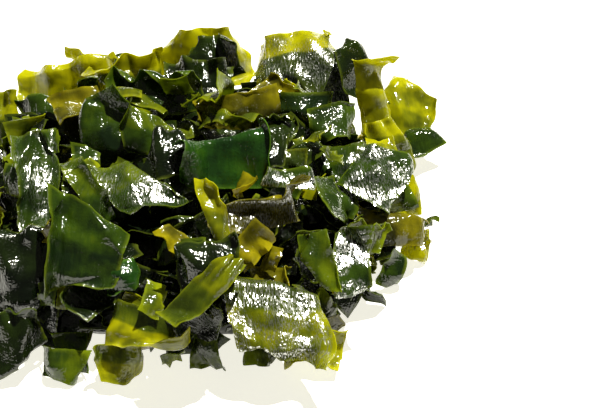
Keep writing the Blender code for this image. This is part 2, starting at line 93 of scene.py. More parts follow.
# Blades that the photograph shows, deepest first: the four corners in its pixels, from the top left and
# clockwise, the way the face looks (degrees to the right of the viewer, degrees above level), the creases
# (heading of the flap in degrees, start as a share of the way to that edge, bend in degrees, radius in mm)
# and the frill of the upper margin in mm.
SEEN_BLADES = {
    "back_long": (((20, 74), (103, 58), (102, 94), (26, 104)), (-4, 22), [(180, 0.1, -35, 14)], 1.5),
    "back_band": (((96, 64), (158, 58), (152, 92), (104, 90)), (8, 35), [(90, 0.0, 40, 6)], 1.5),
    "crown": (
        ((172, 22), (240, 20), (248, 66), (162, 64)), (4, 26),
        [(0, 0.35, -40, 7), (180, 0.4, -30, 9)], 2.0,
    ),
    "crown_inner": (((192, 44), (234, 40), (240, 74), (188, 72)), (15, 48), [(0, 0.0, 60, 4)], 1.0),
    "crest_wide": (
        ((249, 42), (332, 32), (340, 108), (262, 106)), (-4, 36),
        [(125, 0.3, -42, 3), (0, 0.6, -50, 5), (270, 0.6, -30, 8)], 0.6,
    ),
    "arch": (((334, 30), (354, 26), (376, 96), (350, 104)), (30, 34), [(90, 0.2, -70, 5)], 0.0),
    "tongue": (((358, 64), (380, 58), (392, 124), (366, 136)), (18, 36), [(0, 0.1, -50, 5)], 0.0),
    "spur": (((384, 70), (430, 102), (420, 142), (384, 134)), (16, 52), [(180, 0.2, -45, 5)], 1.0),
    "right_tip": (((408, 130), (430, 126), (440, 142), (410, 160)), (20, 55), [(90, 0.1, -50, 4)], 0.0),
    "shoulder": (
        ((356, 122), (402, 112), (426, 168), (348, 156)), (22, 44),
        [(0, 0.3, -45, 8), (270, 0.4, 35, 6)], 1.5,
    ),
    "pillow": (
        ((14, 98), (76, 92), (72, 134), (22, 134)), (-12, 56),
        [(180, 0.2, -50, 9), (90, 0.3, -35, 6)], 0.0,
    ),
    "wavy_left": (((120, 82), (182, 70), (198, 104), (130, 114)), (-14, 50), [(90, 0.2, 45, 4)], 3.0),
    "wavy_right": (((168, 62), (238, 64), (220, 100), (174, 102)), (0, 42), [(270, 0.1, 40, 5)], 3.0),
    "arc_olive": (
        ((200, 104), (266, 92), (272, 126), (204, 124)), (2, 38),
        [(180, 0.1, -40, 7), (90, 0.5, 70, 3)], 0.0,
    ),
    "origami": (
        ((64, 106), (120, 92), (146, 162), (80, 164)), (-8, 42),
        [(180, 0.3, -75, 3), (90, 0.45, -45, 3)], 0.0,
    ),
    "wedge": (((120, 106), (170, 128), (156, 146), (132, 152)), (16, 52), [(0, 0.2, 30, 6)], 0.0),
    "striped": (((146, 134), (188, 130), (186, 168), (140, 178)), (-2, 60), [(180, 0.0, -35, 6)], 1.5),
    "square": (
        ((188, 132), (266, 130), (264, 180), (190, 180)), (0, 40),
        [(180, 0.25, 50, 4), (0, 0.5, -30, 5)], 0.0,
    ),
    "under_crest": (((268, 92), (334, 92), (324, 130), (276, 128)), (4, 40), [(270, 0.3, -40, 5)], 0.0),
    "dotted": (((314, 112), (350, 104), (354, 130), (318, 138)), (10, 66), [(0, 0.2, -40, 5)], 0.0),
    "crinkled": (
        ((258, 136), (290, 122), (284, 172), (238, 188)), (14, 60),
        [(90, 0.4, -60, 3), (270, 0.4, 40, 3)], 1.0,
    ),
    "lens": (
        ((316, 146), (370, 146), (366, 182), (330, 186)), (0, 46),
        [(270, 0.2, 45, 8), (0, 0.4, -40, 8)], 0.0,
    ),
    "sparkle_top": (((366, 150), (416, 158), (384, 204), (346, 178)), (16, 70), [(270, 0.55, -50, 5)], 0.0),
    "flat_strip": (((268, 172), (318, 168), (310, 186), (270, 184)), (2, 70), [(0, 0.5, -40, 4)], 0.0),
    "slit": (((318, 184), (350, 188), (356, 214), (330, 212)), (16, 62), [(270, 0.3, -40, 4)], 0.0),
    "right_flap": (
        ((384, 170), (424, 166), (424, 220), (386, 222)), (20, 32),
        [(0, 0.3, -45, 6), (90, 0.5, -60, 4)], 1.0,
    ),
    "right_band": (((354, 204), (424, 214), (422, 240), (374, 242)), (10, 46), [(90, 0.0, -50, 5)], 0.0),
    "far_curl": (
        ((404, 226), (432, 228), (428, 264), (400, 258)), (26, 42),
        [(0, 0.0, 90, 4), (270, 0.5, -50, 3)], 2.0,
    ),
    "sweep_leaf": (((82, 166), (144, 164), (182, 202), (134, 216)), (-6, 50), [(90, 0.3, -45, 4)], 0.0),
    "sweep_band": (((58, 160), (82, 162), (130, 232), (108, 236)), (-18, 46), [(0, 0.0, -60, 3)], 0.0),
    "ribbon": (
        ((18, 144), (64, 138), (56, 236), (24, 224)), (-10, 42),
        [(0, 0.2, -80, 3), (180, 0.2, 60, 3)], 1.0,
    ),
    "left_edge": (((-16, 100), (20, 94), (16, 146), (-20, 150)), (-20, 42), [(0, 0.2, -45, 5)], 1.5),
    "left_dark": (
        ((-18, 232), (46, 234), (46, 300), (-12, 326)), (-12, 46),
        [(270, 0.3, -40, 8), (180, 0.3, -30, 9)], 1.0,
    ),
    "pointed": (
        ((58, 194), (122, 234), (108, 278), (44, 282)), (-8, 46),
        [(180, 0.4, 60, 3), (270, 0.5, -40, 4)], 0.0,
    ),
    "scroll": (
        ((214, 206), (298, 186), (308, 216), (220, 236)), (0, 46),
        [(90, -0.1, 120, 4), (0, 0.6, -50, 4)], 0.0,
    ),
    "spoon": (((194, 182), (216, 188), (236, 244), (220, 246)), (-10, 46), [(0, 0.0, -70, 3)], 0.0),
    "facets": (
        ((162, 250), (232, 242), (228, 286), (184, 294)), (0, 48),
        [(180, 0.2, -50, 3), (90, 0.3, -40, 4)], 1.0,
    ),
    "front_sheet": (
        ((230, 276), (306, 276), (328, 358), (244, 350)), (10, 54),
        [(270, 0.5, -42, 5), (0, 0.6, -50, 5)], 0.0,
    ),
    "stole": (((286, 236), (322, 220), (342, 290), (324, 288)), (-4, 44), [(180, 0.1, -60, 5)], 0.0),
    "sparkle_strip": (
        ((336, 236), (362, 234), (370, 284), (340, 304)), (14, 70),
        [(270, 0.6, -50, 5), (0, 0.6, -55, 4)], 0.0,
    ),
    "diagonal": (((220, 258), (242, 266), (186, 328), (166, 312)), (-30, 46), [(0, 0.1, -50, 4)], 1.0),
    "grey_crinkle": (((186, 304), (236, 292), (238, 326), (196, 340)), (-8, 46), [(0, 0.0, -40, 4)], 1.5),
    "front_roll": (((296, 336), (344, 330), (336, 368), (286, 362)), (10, 36), [(270, 0.0, 90, 4)], 0.0),
    "teal_cut": (((104, 268), (140, 258), (132, 290), (110, 294)), (2, 50), [(0, 0.3, -40, 5)], 0.0),
    "bright_cut": (((57, 286), (82, 282), (72, 312), (56, 306)), (-4, 52), [(270, 0.3, -30, 5)], 0.0),
    "bracket": (
        ((102, 298), (184, 324), (180, 364), (108, 340)), (-2, 42),
        [(270, 0.1, 80, 4), (0, 0.5, -40, 4)], 0.0,
    ),
    "front_left": (((94, 348), (146, 348), (142, 386), (104, 380)), (0, 38), [(0, 0.1, -60, 5)], 1.0),
    "olive_low": (((52, 334), (82, 336), (90, 372), (60, 368)), (-2, 48), [(0, 0.2, 50, 4)], 0.0),
    "left_low": (((-12, 318), (30, 310), (50, 346), (-10, 384)), (-10, 42), [(0, 0.1, -60, 3)], 1.0),
    "left_tip": (((28, 360), (80, 362), (66, 394), (34, 386)), (-4, 38), [(180, 0.1, -50, 4)], 0.0),
}

# The finish of each, and how much light comes through its lower and its upper part, with how far up the
# upper part begins where that isn't half-way. A low share is also painted shade: it darkens a part that
# leaves behind would shade.
SEEN_LOOKS = {
    "back_long": ("pale", 0.75, 0.9), "back_band": ("pale", 0.4, 0.8), "crown": ("pale", 0.8, 0.88),
    "crown_inner": ("deep", 0.15, 0.3), "crest_wide": ("pale", 0.04, 0.85, 0.7),
    "arch": ("deep", 0.2, 0.35), "tongue": ("pale", 0.85, 0.85), "spur": ("pale", 0.6, 0.7),
    "right_tip": ("green", 0.3, 0.4), "shoulder": ("pale", 0.55, 0.85), "pillow": ("green", 0.15, 0.3),
    "wavy_left": ("green", 0.1, 0.35), "wavy_right": ("deep", 0.1, 0.3), "arc_olive": ("tan", 0.3, 0.6),
    "origami": ("green", 0.1, 0.4), "wedge": ("green", 0.35, 0.5), "striped": ("deep", 0.05, 0.1),
    "square": ("fresh", 0.38, 0.3), "crinkled": ("deep", 0.1, 0.3), "lens": ("green", 0.3, 0.45),
    "sparkle_top": ("green", 0.35, 0.2), "right_flap": ("pale", 0.8, 0.85), "right_band": ("tan", 0.5, 0.55),
    "far_curl": ("pale", 0.85, 0.85), "sweep_leaf": ("green", 0.3, 0.5), "sweep_band": ("green", 0.4, 0.5),
    "ribbon": ("green", 0.3, 0.4), "left_edge": ("pale", 0.3, 0.6), "left_dark": ("deep", 0.05, 0.1),
    "pointed": ("green", 0.12, 0.35), "scroll": ("tan", 0.45, 0.4), "spoon": ("pale", 0.6, 0.8),
    "facets": ("deep", 0.1, 0.2), "stole": ("green", 0.5, 0.5), "sparkle_strip": ("green", 0.25, 0.12),
    "diagonal": ("pale", 0.4, 0.5), "grey_crinkle": ("deep", 0.03, 0.08), "front_sheet": ("pale", 0.55, 0.3),
    "front_roll": ("pale", 0.85, 0.85), "bracket": ("pale", 0.75, 0.4), "front_left": ("pale", 0.7, 0.5),
    "left_low": ("deep", 0.15, 0.3), "left_tip": ("green", 0.45, 0.5), "under_crest": ("green", 0.05, 0.15),
    "dotted": ("green", 0.2, 0.35), "flat_strip": ("green", 0.15, 0.3), "slit": ("green", 0.3, 0.4),
    "teal_cut": ("fresh", 0.25, 0.4), "bright_cut": ("pale", 0.5, 0.6), "olive_low": ("green", 0.3, 0.45),
}

# Leaves with less relief than the others, as a share of it
SMOOTH_ONES = {"back_long": 0.25, "square": 0.6, "crest_wide": 0.8}

# Leaves that glitter: how much, and how far up their wet skin leans, as a slope
GLITTERING_ONES = {
    "front_sheet": (1.0, 0.3), "sparkle_strip": (1.0, 0.0), "sparkle_top": (1.0, 0.0),
    "far_curl": (0.8, 0.5), "ribbon": (0.3, 0.45), "sweep_leaf": (0.5, 0.35), "flat_strip": (0.8, 0.0),
    "scroll": (0.5, 0.45), "crest_wide": (0.4, 0.6), "lens": (0.3, 0.3),
}

# The colours of each finish: its darkest, reached in dark blotches and painted shade, its body, its cut
# edge, and the light that comes through where it is dim and where it is sheer. The finishes differ partly in
# the seaweed's own hue and partly as painted light and shade: pale is the seaweed glowing as a backlit
# single sheet, green as it looks lying on other leaves and deep as it looks in the shade between them.
LEAF_COLOURS = {
    "pale": (
        (0.008, 0.015, 0.002), (0.045, 0.062, 0.003), (0.20, 0.22, 0.010),
        (0.20, 0.26, 0.004), (0.66, 0.64, 0.003),
    ),
    "green": (
        (0.002, 0.006, 0.002), (0.018, 0.036, 0.003), (0.13, 0.16, 0.008),
        (0.10, 0.19, 0.004), (0.42, 0.48, 0.005),
    ),
    "fresh": (
        (0.003, 0.012, 0.003), (0.014, 0.052, 0.006), (0.10, 0.20, 0.012),
        (0.045, 0.15, 0.005), (0.20, 0.37, 0.010),
    ),
    "tan": (
        (0.010, 0.010, 0.002), (0.050, 0.047, 0.004), (0.19, 0.17, 0.012),
        (0.26, 0.24, 0.006), (0.56, 0.49, 0.006),
    ),
    "deep": (
        (0.001, 0.002, 0.001), (0.006, 0.011, 0.003), (0.09, 0.11, 0.008),
        (0.06, 0.11, 0.004), (0.28, 0.34, 0.006),
    ),
}

HIDDEN_SEED = 41
HIDDEN_PLACES = 120
HIDDEN_FACING = 0.0
HIDDEN_FOOT = 19 * MM
HIDDEN_LEFT = 70 * MM
HIDDEN_LONGEST = 44 * MM
HIDDEN_SHORTEST = 31 * MM
HIDDEN_MOST_BEND = 100
HIDDEN_LEAN = math.radians(40)

TANGLE_SEED = 7
TANGLE_BLADES = 56
TANGLE_LONGEST = 38 * MM
TANGLE_SHORTEST = 24 * MM
TANGLE_MOST_BEND = 60
TANGLE_LEAN = math.radians(75)

GOLDEN_ANGLE = math.pi * (3 - math.sqrt(5))
GOLDEN_SHARE = 0.618

# Fine leaves: their thickness, the cells of their grids, their tighter creases and their lower buckles
LEAF_THICKNESS = 0.34 * MM
LEAF_CELL = 0.8 * MM
TANGLE_CELL = 1.2 * MM
SMALL_CELL = 1.3 * MM
FEWEST_FINE_CELLS = 4
SHARPEST_BEND = math.radians(80)
TIGHTER_RADIUS = 0.3
TIGHTEST_RADIUS = 1 * MM
LOWER_BUCKLES = 0.6
SHARP_ANGLE = math.radians(48)

# The outline of a leaf wanders and is nicked: how long these run and, in mm, how far they go
WANDER_LENGTH = 12 * MM
WANDER = 0.5
NICK_LENGTH = 2.2 * MM
NICK = 0.22

# How far in from its outline a leaf is ruffled and pale, the pale rim partly a paler cut edge and partly a
# painted glow along it, and how high the ruffles are in mm without a frill and more for each mm of it
RUFFLED_MARGIN = 5 * MM
PALE_RIM = 1.2 * MM
RUFFLE = 0.4
RUFFLE_BY_FRILL = 0.5

# The small relief of a leaf in mm, as how long it runs and how high it rises or how far it shifts
WARP = (9, 1.1)
SWELL = (10, 0.2)
GRAIN = (2.4, 0.1)
RUFFLE_LENGTH = 3.3

# The straight folds of a leaf in mm, as how long each runs up and how high it rises, and the length over
# which they come and go
FACETS = ((8.3, 2.2), (5.1, 1.1), (13.7, 2.6))
FACET_PATCH = 15

# Where the upper part of a leaf begins, and over which share of its height, as a painted shadow edge
HALF_WAY = 0.5
BORDER_WAVER = 0.18
BORDER_WIDTH = 0.08

# The length that is 1 in the UV map of a leaf
FLAT_UNIT = 10 * MM

# Hidden and tangled leaves: the first seeds of their relief and the light through them, also painted shade
HIDDEN_RELIEF_SEED = 60
HIDDEN_SHEERS = (0.15, 0.3)
HIDDEN_SHEER_STEP = 0.09
TANGLE_RELIEF_SEED = 90
TANGLE_SHEERS = (0.04, 0.06)
TANGLE_SHEER_RANGE = 0.3

# The wrinkles of the heart, as how many there are and how deep they go as a share of its size
FINE_WRINKLES = (9, 0.04)
DEEP_WRINKLES = (4, 0.06)

# Layers of small leaves: the places tried on an ellipsoid, how long the leaves are, how far they lean out of
# it in degrees, how far inside it each starts and how far it may move out, and the light through them, lower
# on the heart as painted shade
HEART_LEAVES = {
    "seed": 5, "places": 260, "half": HEART_HALF, "base": HEART_BASE + 2 * MM,
    "lengths": (13 * MM, 26 * MM), "lean": 75, "depth": 0, "highest": 9 * MM, "sheer_and_shade_range": (0.03, 0.35),
}
TOP_LEAVES = {
    "seed": 23, "places": 240, "half": MOUND_HALF, "base": 0,
    "lengths": (13 * MM, 24 * MM), "lean": 50, "depth": 8 * MM, "highest": 6 * MM, "sheer_and_shade_range": (0.03, 0.6),
}
OUTER_LEAVES = {
    "seed": 11, "places": 420, "half": MOUND_HALF, "base": 0,
    "lengths": (8 * MM, 18 * MM), "lean": 70, "depth": 18 * MM, "highest": 10 * MM, "sheer_and_shade_range": (0.15, 0.7),
}
SMALL_FINISHES = ("green", "pale", "deep", "tan")
SMALL_MOST_BEND = 110
SMALL_RELIEF = 0.7
# The upper part of a small leaf lets more light through: painted shade on its lower part
SMALL_SEED_STEP = 0.37
SHEERER_TIP = 1.3
SEAT_STEP = 1 * MM

# How far small leaves and those of the tangle stay above the table. Small leaves need a lowest seat, and
# beyond the mound's foot they don't hang high over the table
TABLE_GAP = 0.2 * MM
TANGLE_GAP = 0.3 * MM
LOWEST_SEAT = 6 * MM
FOOT_SHARE = 0.97
HIGHEST_OVERHANG = 4 * MM

# The wet skin: its bumps, the gloss of the leaf, of the film of water and of the glitter on it, and how much
# light it lets through and scatters back
BUMP_HEIGHT = 0.34 * MM
LEAF_IOR = 1.5
WATER_IOR = 1.4
FILM_ROUGHNESS = 0.13
GLITTER_ROUGHNESS = 0.28
MOST_WET = 0.5
MOST_GLITTER = 0.5
LEAST_THROUGH = 0.02
MOST_THROUGH = 0.8
SCATTERED_BACK = 0.3

# The noise in it, as waves to 10 mm of the flat sheet, detail, roughness and distortion
BLOTCHES = (1.1, 2.0)
STREAKS = (6.0, 4.0, 0.6)
SPECKLES = (11.0, 1.0, 0.4)
PUCKERS = (7.5, 1.0, 0.4, 0.6)
BUMPY_PATCHES = (1.9, 1.0)
GLITTER_DOTS = (26.0, 1.0)
SHINING_SPOTS = (0.9, 2.0)

# Table, room and sun
WARM_WHITE = (1, 0.98, 0.85)
TABLE_HALF = 4
TABLE_GREY = (0.5, 0.5, 0.5, 1)
TABLE_GLOW = (1.0, 0.98, 0.86, 1)
TABLE_GLOW_STRENGTH = 0.84
ROOM_LIGHT = 0.07
BACKDROP_LIGHT = 1.2
TOWARD_SUN = (0.25, 0.27, 0.93)
SUN_STRENGTH = 10.5
SUN_WIDTH = math.radians(0.8)

LENS_LENGTH = 90
SENSOR_WIDTH = 36


# Sheets and their creases


def bowed(point, along, start, bend, radius, flat):
    """point after the sheet beyond a crease has bent: flat is the same point before any crease."""
    distance = flat.dot(along) - start
    turn = min(max(distance / radius, 0), abs(bend))
    if turn == 0:
        return point
    out = Vector((0, 0, math.copysign(1, bend)))
    rolled = Matrix.Rotation(turn, 3, along.cross(out)) @ (point - along * (start + radius * turn))
    return rolled + along * (start + radius * math.sin(turn)) + out * (radius * (1 - math.cos(turn)))


def crease_lines(corners, creases):
    """Each crease as its heading, where it starts, its bend and its radius."""
    lines = []
    for heading, share, bend, radius in creases:
        along = Vector((math.cos(math.radians(heading)), math.sin(math.radians(heading)), 0))
        start = share * max(Vector((x, y, 0)).dot(along) for x, y in corners)
        lines.append((along, start, math.radians(bend), radius * MM))
    return lines


def sharpened(lines):
    """The same bends with tighter creases, moved so that the flat parts stay where they are."""
    sharp = []
    for along, start, bend, radius in lines:
        if abs(bend) < SHARPEST_BEND:
            tight = max(radius * TIGHTER_RADIUS, TIGHTEST_RADIUS)
            start += (radius - tight) * math.tan(abs(bend) / 2)
            radius = tight
        sharp.append((along, start, bend, radius))
    return sharp


def on_sheet(corners, u, v):
    """The point of the flat sheet at this share of its length and width."""
    low_left, low_right, high_right, high_left = (Vector((x, y, 0)) for x, y in corners)
    return low_left.lerp(low_right, u).lerp(high_left.lerp(high_right, u), v)


def waved(frill, phase, u, v, buckle=BUCKLE):
    """How far the sheet rises at this share of its length and width."""
    wave = buckle * math.sin(math.tau * (BUCKLES_ACROSS * u + BUCKLES_UP * v) + phase)
    return wave + frill * MM * v * v * math.sin(FRILLS_ACROSS * math.tau * u + FRILL_SLANT * v)


def solid_blade(shape, turned):
    """The plain blade of the solid model, turned the way it faces but not yet in its place."""
    corners, creases, frill, phase = shape
    xs, ys = [x for x, _ in corners], [y for _, y in corners]
    reaches = [max(xs) - min(xs), max(ys) - min(ys)]
    columns, rows = (min(max(round(reach / BLADE_CELL), FEWEST_CELLS), MOST_CELLS) for reach in reaches)
    blade = bmesh.new()
    bmesh.ops.create_grid(blade, x_segments=columns, y_segments=rows, size=1)
    lines = crease_lines(corners, creases)
    for vert in blade.verts:
        u, v = (vert.co.x + 1) / 2, (vert.co.y + 1) / 2
        flat = on_sheet(corners, u, v)
        point = flat + Vector((0, 0, waved(frill, phase, u, v)))
        for line in lines:
            point = bowed(point, *line, flat)
        vert.co = turned @ point
    thickened(blade, BLADE_THICKNESS)
    return blade


def thickened(sheet, thickness):
    """Gives the sheet its thickness, half of it to each side."""
    sheet.normal_update()
    under = []
    for vert in sheet.verts:
        out = sum((face.normal for face in vert.link_faces), Vector((0, 0, 0)))
        under.append((vert, out.normalized() * thickness))
    for vert, depth in under:
        vert.co += depth / 2
    bmesh.ops.extrude_face_region(sheet, geom=sheet.faces[:], use_keep_orig=True)
    for vert, depth in under:
        vert.co -= depth
    bmesh.ops.recalc_face_normals(sheet, faces=sheet.faces[:])


def box_of(mesh):
    """The lowest and the highest corner of a mesh's box."""
    low = Vector(min(vert.co[i] for vert in mesh.verts) for i in range(3))
    high = Vector(max(vert.co[i] for vert in mesh.verts) for i in range(3))
    return low, high


def fitted(shape, turned, node):
    """The cut and the easing of the creases that give the node's own size, with how far they miss it."""
    low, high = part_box(node)
    best = None
    for share in SMALLER_CUTS:
        corners = [(x * share, y * share) for x, y in shape[0]]
        creases = shape[1]
        for _ in range(EASING_STEPS):
            cut = (corners, creases, *shape[2:])
            blade = solid_blade(cut, turned)
            blade_low, blade_high = box_of(blade)
            blade.free()
            miss = ((high - low) - (blade_high - blade_low)).length
            if best is None or miss < best[0]:
                best = (miss, cut, (low + high - blade_low - blade_high) / 2)
            if miss < SAME_SIZE:
                return best
            creases = [(heading, start, bend * EASING, radius) for heading, start, bend, radius in creases]
    return best


# Where blades lie


def facing_frame(facing):
    """A frame whose Z is the way a blade looks, with X level and Y up its face."""
    right, above = (math.radians(angle) for angle in facing)
    out = Vector((math.sin(right) * math.cos(above), -math.cos(right) * math.cos(above), math.sin(above)))
    across = Vector((0, 0, 1)).cross(out).normalized()
    return Matrix((across, out.cross(across), out)).transposed()


def sight_line(pixel):
    """The eye and the direction of the line of sight through a pixel of the photograph."""
    toward = Vector((0, -math.cos(VIEW_ELEVATION), math.sin(VIEW_ELEVATION)))
    picture_up = Vector((0, math.sin(VIEW_ELEVATION), math.cos(VIEW_ELEVATION)))
    eye = VIEW_TARGET + toward * VIEW_DISTANCE
    aim = VIEW_TARGET + Vector((1, 0, 0)) * (pixel[0] - PICTURE_MIDDLE[0]) * PIXEL
    aim += picture_up * (PICTURE_MIDDLE[1] - pixel[1]) * PIXEL
    return eye, (aim - eye).normalized()


def on_mound(eye, direction):
    """Where a line of sight meets the mound, or else where it passes closest to it."""
    start = Vector(eye[i] / MOUND_HALF[i] for i in range(3))
    run = Vector(direction[i] / MOUND_HALF[i] for i in range(3))
    square, middle = run.dot(run), start.dot(run)
    under_root = middle * middle - square * (start.dot(start) - 1)
    distance = (-middle - math.sqrt(max(under_root, 0))) / square
    point = eye + direction * distance
    if point.z < 0:
        point = eye - direction * (eye.z / direction.z)
    return point


def tucked_share(number):
    """How much larger than it is seen the blade of this number in the table is cut."""
    return MOST_TUCKED + (LEAST_TUCKED - MOST_TUCKED) * number / (len(SEEN_BLADES) - 1)


def seen_blade(pixels, facing, share):
    """The frame and flat corners of a blade whose corners are seen at these pixels."""
    eye, line = sight_line([sum(pixel[i] for pixel in pixels) / 4 for i in (0, 1)])
    seat = on_mound(eye, line)
    turned = facing_frame(facing)
    out = turned.col[2]
    corners = []
    for pixel in pixels:
        eye, direction = sight_line(pixel)
        distance = (seat - eye).dot(out) / direction.dot(out)
        local = turned.transposed() @ (eye + direction * distance - seat) * share
        corners.append((local.x, local.y))
    high_left, high_right, low_right, low_left = corners
    return turned, (low_left, low_right, high_right, high_left)


def cut_corners(draw, length, width):
    """The corners of a knife-cut sheet of about this size, none of them square."""
    corners = []
    for x, y in ((-1, -1), (1, -1), (1, 1), (-1, 1)):
        corners.append((x * length / 2 * draw.uniform(0.72, 1.1), y * width / 2 * draw.uniform(0.7, 1.1)))
    return corners


def drawn_creases(draw, most_bend):
    """Two or three creases that start at different edges."""
    first = draw.uniform(0, 360)
    creases = []
    for number in range(draw.choice((2, 3))):
        heading = first + number * draw.uniform(100, 130)
        bend = draw.uniform(0.35, 1) * most_bend * draw.choice((-1, -1, 1))
        creases.append((heading, draw.uniform(0.0, 0.45), bend, draw.uniform(3, 8)))
    return creases


def corner_creases(draw):
    """Three small flaps at the ends of a sheet, one bent up and two down."""
    heading = draw.uniform(0, 360)
    raised = (heading, draw.uniform(0.35, 0.65), draw.uniform(50, 115), draw.uniform(2.5, 4))
    heading_down = heading + draw.uniform(90, 140)
    lowered = (heading_down, draw.uniform(0.3, 0.6), -draw.uniform(50, 110), draw.uniform(2.5, 5))
    heading_away = heading + draw.uniform(210, 260)
    drooping = (heading_away, draw.uniform(0.35, 0.65), -draw.uniform(30, 90), draw.uniform(3, 6))
    return [raised, lowered, drooping]


def outward(point, half):
    """The direction straight out of an ellipsoid with these half axes."""
    return Vector(point[i] / half[i] ** 2 for i in range(3)).normalized()


def spiral_place(number, total, half):
    """A point on the upper half of an ellipsoid, evenly spread by the golden angle."""
    height = 0.04 + 0.94 * (number + 0.5) / total
    level = math.sqrt(1 - height * height)
    turn = number * GOLDEN_ANGLE
    return Vector((half[0] * level * math.cos(turn), half[1] * level * math.sin(turn), half[2] * height))


def leaning_frame(draw, out, lean):
    """A frame whose Z leans from straight out by up to this angle, turned any way about itself."""
    axis = Vector((draw.uniform(-1, 1), draw.uniform(-1, 1), draw.uniform(-1, 1))).normalized()
    turned = Matrix.Rotation(draw.uniform(0.3, 1) * lean, 3, axis) @ out.to_track_quat("Z", "Y").to_matrix()
    return turned @ Matrix.Rotation(draw.uniform(0, math.tau), 3, "Z")


def tangle_shapes():
    """Each smaller blade of the tangle: its sheet, frame and seat on the heart."""
    draw = random.Random(TANGLE_SEED)
    for number in range(TANGLE_BLADES):
        seat = spiral_place(number, TANGLE_BLADES, HEART_HALF)
        seat.z += HEART_BASE
        length = draw.uniform(TANGLE_SHORTEST, TANGLE_LONGEST)
        corners = cut_corners(draw, length, length * draw.uniform(0.6, 0.9))
        shape = (corners, drawn_creases(draw, TANGLE_MOST_BEND), 0, draw.uniform(0, math.tau))
        yield shape, leaning_frame(draw, outward(seat, HEART_HALF), TANGLE_LEAN), seat


def hidden_shapes():
    """Each blade of the hidden sides that the rule offers: its sheet and frame."""
    draw = random.Random(HIDDEN_SEED)
    toward = Vector((0, -math.cos(VIEW_ELEVATION), math.sin(VIEW_ELEVATION)))
    for number in range(HIDDEN_PLACES):
        seat = spiral_place(number, HIDDEN_PLACES, MOUND_HALF)
        out = outward(seat, MOUND_HALF)
        length = draw.uniform(HIDDEN_SHORTEST, HIDDEN_LONGEST)
        corners = cut_corners(draw, length, length * draw.uniform(0.65, 0.9))
        creases = drawn_creases(draw, HIDDEN_MOST_BEND)
        shape = (corners, creases, draw.uniform(0, 2.5), draw.uniform(0, math.tau))
        turned = leaning_frame(draw, out, HIDDEN_LEAN)
        far_side = out.dot(toward) < HIDDEN_FACING and seat.z < HIDDEN_FOOT
        if far_side or seat.x < -HIDDEN_LEFT:
            yield shape, turned


# Fine leaves


def pleated(distance, length):
    """A fold that rises and falls in straight lines, between -0.5 and 0.5."""
    return abs((distance / length) % 2 - 1) - 0.5


def crinkle(flat, seed, edge, ruffle):
    """The small relief at a point of a flat leaf: straight folds, swells and a ruffled margin."""
    place = Vector((flat.x, flat.y, 0)) / MM
    shift = Vector((seed * 7.3, seed * 3.1, seed))
    warp = noise.noise_vector(place / WARP[0] - shift) * WARP[1]
    swell = noise.noise(place / SWELL[0] + shift) * SWELL[1]
    height = swell + noise.noise(place / GRAIN[0] + shift) * GRAIN[1]
    for number, (length, rise) in enumerate(FACETS):
        angle = seed * 2.4 + number * 1.15
        along = (place + warp).dot(Vector((math.cos(angle), math.sin(angle), 0)))
        share = min(max(noise.noise(place / FACET_PATCH + shift * (number + 2)) * 1.8 + 0.6, 0), 1)
        height += rise * share * pleated(along, length)
    height += noise.noise(place / RUFFLE_LENGTH - shift * 3) * ruffle * edge ** 3
    return height * MM


def eased_step(low, high, value):
    """0 up to low and 1 from high on, with a soft start and end."""
    share = min(max((value - low) / (high - low), 0), 1)
    return share * share * (3 - 2 * share)


